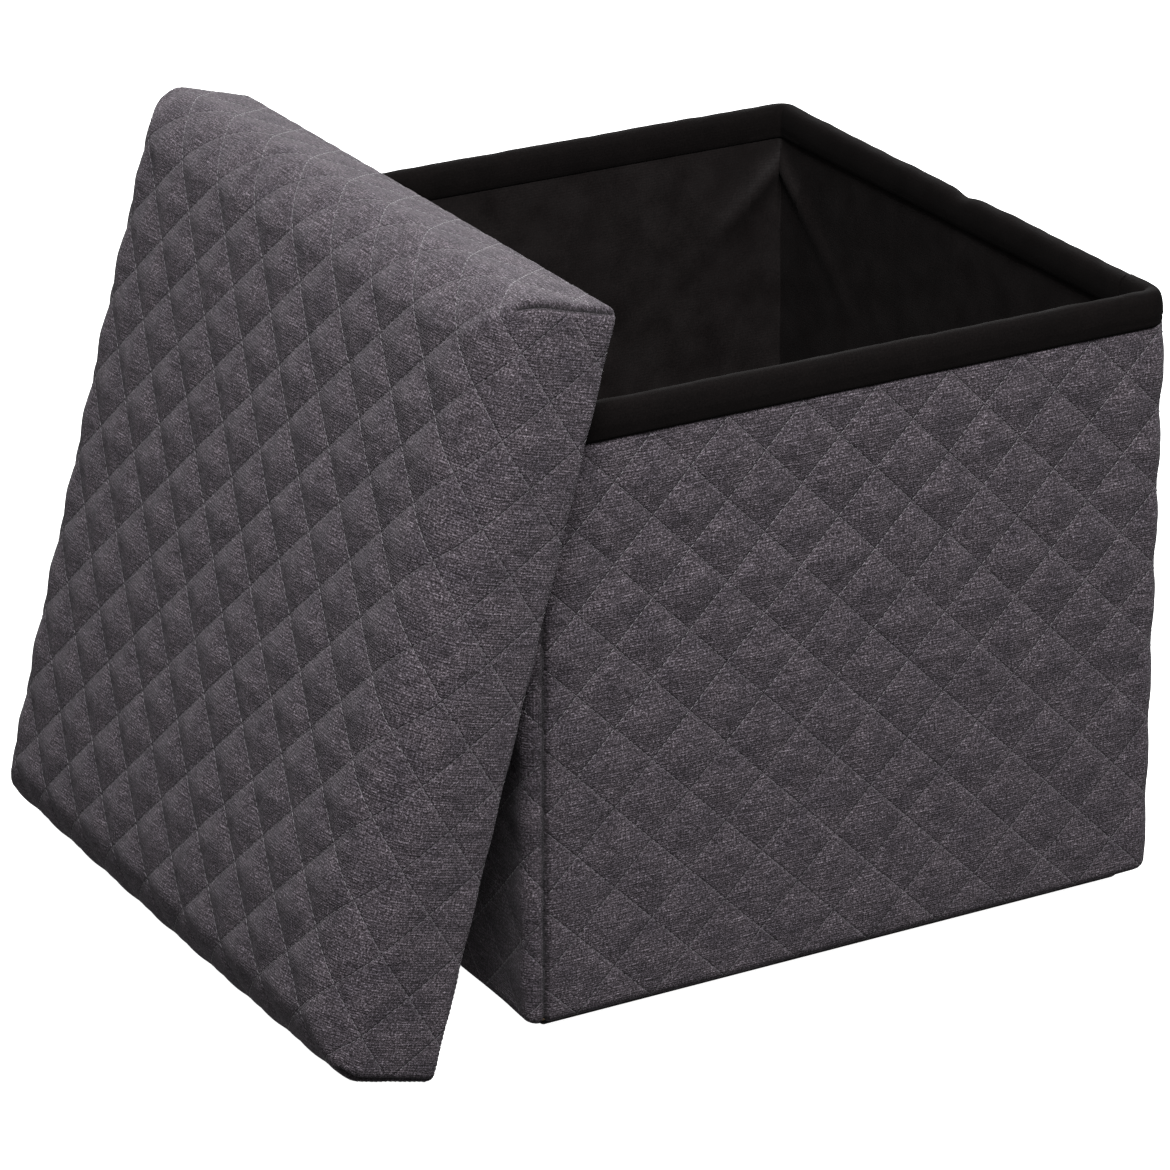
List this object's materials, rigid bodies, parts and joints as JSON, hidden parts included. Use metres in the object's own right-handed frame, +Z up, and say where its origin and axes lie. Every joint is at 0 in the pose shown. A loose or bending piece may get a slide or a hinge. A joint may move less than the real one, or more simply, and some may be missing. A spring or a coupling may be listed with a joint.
{
  "type": "folding storage ottoman",
  "caption": "Cube storage ottoman in quilted charcoal fabric that folds flat, with a black lined inside, a tip-up base panel and a padded lift-off lid leaning on its side.",
  "frame": {"origin": "on the floor, under the middle of the box, on the underside of the base panel", "axes": "+X to the right along the front wall, +Y from the front wall to the back wall, +Z up"},
  "size_m": [0.4153, 0.331, 0.3313],
  "materials": {
    "charcoal_linen": "quilted linen-look weave, matte",
    "fibreboard": "raw fibreboard",
    "black_nonwoven": "matte non-woven",
    "black_tape": "matte folded tape",
    "seat_foam": "open-cell foam"
  },
  "bodies": {
    "back_wall": {"back_wall_cover": "charcoal_linen", "back_wall_board": "fibreboard", "back_wall_lining": "black_nonwoven", "back_wall_binding": "black_tape"},
    "left_rear": {"left_rear_cover": "charcoal_linen", "left_rear_board": "fibreboard", "left_rear_lining": "black_nonwoven", "left_rear_binding": "black_tape"},
    "left_front": {"left_front_cover": "charcoal_linen", "left_front_board": "fibreboard", "left_front_lining": "black_nonwoven", "left_front_binding": "black_tape"},
    "front_wall": {"front_wall_cover": "charcoal_linen", "front_wall_board": "fibreboard", "front_wall_lining": "black_nonwoven", "front_wall_binding": "black_tape"},
    "right_rear": {"right_rear_cover": "charcoal_linen", "right_rear_board": "fibreboard", "right_rear_lining": "black_nonwoven", "right_rear_binding": "black_tape"},
    "right_front": {"right_front_cover": "charcoal_linen", "right_front_board": "fibreboard", "right_front_lining": "black_nonwoven", "right_front_binding": "black_tape"},
    "base_panel": {"base_board": "fibreboard", "base_sleeve": "black_nonwoven"},
    "lid": {"lid_cover": "charcoal_linen", "lid_foam": "seat_foam", "lid_board": "fibreboard", "lid_lining": "black_nonwoven", "lid_skirt_front": "fibreboard", "lid_skirt_back": "fibreboard", "lid_skirt_bottom": "fibreboard", "lid_skirt_top": "fibreboard"}
  },
  "joints": [
    {"name": "fold", "type": "hinge", "parent": "back_wall", "child": "left_rear", "pos_m": [-0.1454, 0.1398, 0], "axis": [0, 0, 1], "range_deg": [0, 90]},
    {"name": "left_crease", "type": "hinge", "parent": "left_rear", "child": "left_front", "pos_m": [-0.1553, -0.0028, 0], "axis": [0, 0, 1], "range_deg": [-180, 0]},
    {"name": "front_left_corner", "type": "hinge", "parent": "left_front", "child": "front_wall", "pos_m": [-0.1454, -0.1454, 0], "axis": [0, 0, 1], "range_deg": [0, 90]},
    {"name": "back_right_corner", "type": "hinge", "parent": "back_wall", "child": "right_rear", "pos_m": [0.1454, 0.1398, 0], "axis": [0, 0, 1], "range_deg": [-90, 0]},
    {"name": "front_right_corner", "type": "hinge", "parent": "front_wall", "child": "right_front", "pos_m": [0.1454, -0.1454, 0], "axis": [0, 0, 1], "range_deg": [0, 90]},
    {"name": "base_tip", "type": "hinge", "parent": "back_wall", "child": "base_panel", "pos_m": [0, 0.1452, 0.0044], "axis": [-1, 0, 0], "range_deg": [0, 90]},
    {"name": "lid_lift", "type": "slide", "parent": "back_wall", "child": "lid", "axis": [0, 0, 1], "range_m": [0, 0.45]}
  ],
  "couplings": [
    {"joint": "left_crease", "follows": "fold", "ratio": -2},
    {"joint": "front_left_corner", "follows": "fold", "ratio": 1},
    {"joint": "back_right_corner", "follows": "fold", "ratio": -1},
    {"joint": "front_right_corner", "follows": "fold", "ratio": 1}
  ]
}
